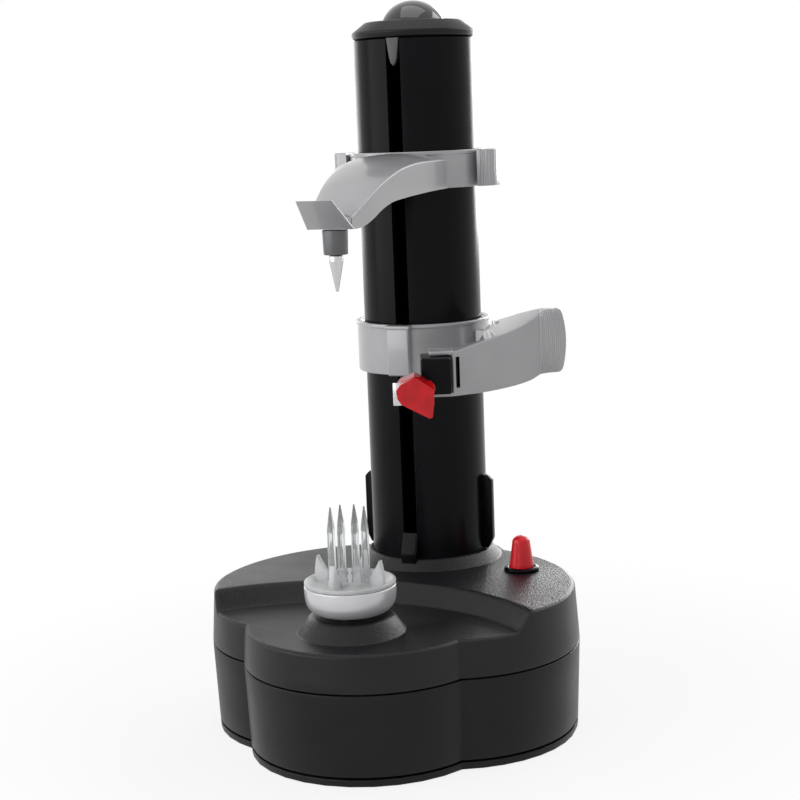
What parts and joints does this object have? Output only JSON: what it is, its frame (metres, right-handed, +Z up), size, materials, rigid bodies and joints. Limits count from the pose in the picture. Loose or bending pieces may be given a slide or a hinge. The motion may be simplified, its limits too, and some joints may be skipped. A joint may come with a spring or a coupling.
{
  "type": "electric potato peeler",
  "caption": "Upright electric vegetable peeler: lobed base, turning spindle cup with prongs, slotted column with lead screw, hinged blade lever and sliding upper arm.",
  "frame": {"origin": "on the column's axis at the table, in the middle of the back foot's underside", "axes": "+Z up along the column, -Y from the column to the spindle (the front), +X towards the power button and the peeling lever"},
  "size_m": [0.1484, 0.1549, 0.2857],
  "materials": {
    "black_shell": "fine texture, black",
    "black_gloss": "gloss black",
    "silver_paint": "silver paint on moulded plastic, satin",
    "satin_metal": "satin silver plating on moulded plastic",
    "clear_plastic": "clear to milky, glossy",
    "red_plastic": "bright red, glossy",
    "grey_plastic": "grey, plain",
    "white_nylon": "white, plain",
    "steel": "turned",
    "brass": "plain",
    "rubber": "black, plain",
    "cell_jacket": "painted green jacket"
  },
  "bodies": {
    "base": {"top_cover": "black_shell", "lower_shell": "black_shell", "bottom_plate": "black_shell", "battery_box": "black_shell", "battery_cell_1": "cell_jacket", "battery_cell_2": "cell_jacket", "battery_cell_3": "cell_jacket", "battery_cell_4": "cell_jacket", "contact_strip_front": "brass", "contact_strip_back": "brass", "rubber_foot_1": "rubber", "rubber_foot_2": "rubber", "rubber_foot_3": "rubber", "rubber_foot_4": "rubber", "case_screw_1": "steel", "case_screw_2": "steel", "case_screw_3": "steel", "case_screw_4": "steel", "gear_plate": "grey_plastic", "idler_axle": "steel", "spindle_lower_bush": "brass", "spindle_upper_bush": "brass", "screw_lower_bush": "brass", "gear_motor": "steel", "column": "black_gloss", "column_cap": "black_shell", "screw_top_bush": "brass", "cap_dome": "black_gloss", "slot_tongue": "grey_plastic", "button_bezel": "black_gloss", "switch_body": "grey_plastic"},
    "door": {"battery_door": "black_shell"},
    "spindle": {"spindle_gear": "white_nylon", "spindle_shaft": "steel", "spindle_cup": "satin_metal", "prong_insert": "clear_plastic"},
    "idler": {"idler_gear": "white_nylon"},
    "screw": {"screw_gear": "white_nylon", "lead_screw": "steel"},
    "pinion": {"drive_pinion": "brass"},
    "carriage_unit": {"carriage": "silver_paint", "half_nut": "white_nylon", "hinge_pin": "steel"},
    "lever": {"peel_lever": "silver_paint", "blade_block": "black_shell", "swivel_pin": "steel"},
    "blade": {"blade_holder": "red_plastic", "peel_blade": "steel"},
    "arm": {"upper_arm": "silver_paint", "upper_socket": "grey_plastic"},
    "tab_right": {"release_tab_right": "silver_paint"},
    "tab_left": {"release_tab_left": "silver_paint"},
    "pin": {"holder_pin": "steel"},
    "button": {"power_button": "red_plastic"}
  },
  "joints": [
    {"name": "carriage_slide", "type": "slide", "parent": "base", "child": "carriage_unit", "axis": [0, 0, 1], "range_m": [-0.044, 0.045]},
    {"name": "lead_screw_spin", "type": "hinge", "parent": "base", "child": "screw", "pos_m": [0, -0.009, 0.15], "axis": [0, 0, 1], "continuous": true},
    {"name": "spindle_spin", "type": "hinge", "parent": "base", "child": "spindle", "pos_m": [0, -0.0893, 0.06], "axis": [0, 0, 1], "continuous": true},
    {"name": "idler_spin", "type": "hinge", "parent": "base", "child": "idler", "pos_m": [0, -0.04915, 0.04], "axis": [0, 0, 1], "continuous": true},
    {"name": "pinion_spin", "type": "hinge", "parent": "base", "child": "pinion", "pos_m": [0.02838, -0.07662, 0.04], "axis": [0, 0, 1], "continuous": true},
    {"name": "peel_lever_swing", "type": "hinge", "parent": "carriage_unit", "child": "lever", "pos_m": [0.034, -0.00794, 0.147], "axis": [0, 0, 1], "range_deg": [-5.5, 25], "stiffness_Nm_per_rad": 0.3, "springref_deg": -11.46},
    {"name": "blade_swivel", "type": "hinge", "parent": "lever", "child": "blade", "pos_m": [0.02632, -0.07023, 0.1385], "axis": [-0.3584, 0.9336, 0], "range_deg": [-11, 11], "stiffness_Nm_per_rad": 0.05},
    {"name": "upper_arm_slide", "type": "slide", "parent": "base", "child": "arm", "axis": [0, 0, 1], "range_m": [-0.04, 0.042]},
    {"name": "release_right_press", "type": "slide", "parent": "arm", "child": "tab_right", "axis": [-1, 0, 0], "range_m": [0, 0.0015], "stiffness_N_per_m": 600},
    {"name": "release_left_press", "type": "slide", "parent": "arm", "child": "tab_left", "axis": [1, 0, 0], "range_m": [0, 0.0015], "stiffness_N_per_m": 600},
    {"name": "holder_pin_spin", "type": "hinge", "parent": "arm", "child": "pin", "pos_m": [0, -0.0893, 0.19], "axis": [0, 0, 1], "continuous": true},
    {"name": "power_button_press", "type": "slide", "parent": "base", "child": "button", "axis": [0, 0, -1], "range_m": [0, 0.0025], "stiffness_N_per_m": 500},
    {"name": "battery_door_pull", "type": "slide", "parent": "base", "child": "door", "axis": [0, 0, -1], "range_m": [0, 0.012]}
  ],
  "couplings": [
    {"joint": "lead_screw_spin", "follows": "carriage_slide", "rad_per_m": -1461.2},
    {"joint": "spindle_spin", "follows": "carriage_slide", "rad_per_m": -1461.2},
    {"joint": "idler_spin", "follows": "carriage_slide", "rad_per_m": 2023.2},
    {"joint": "pinion_spin", "follows": "carriage_slide", "rad_per_m": 4383.6}
  ]
}
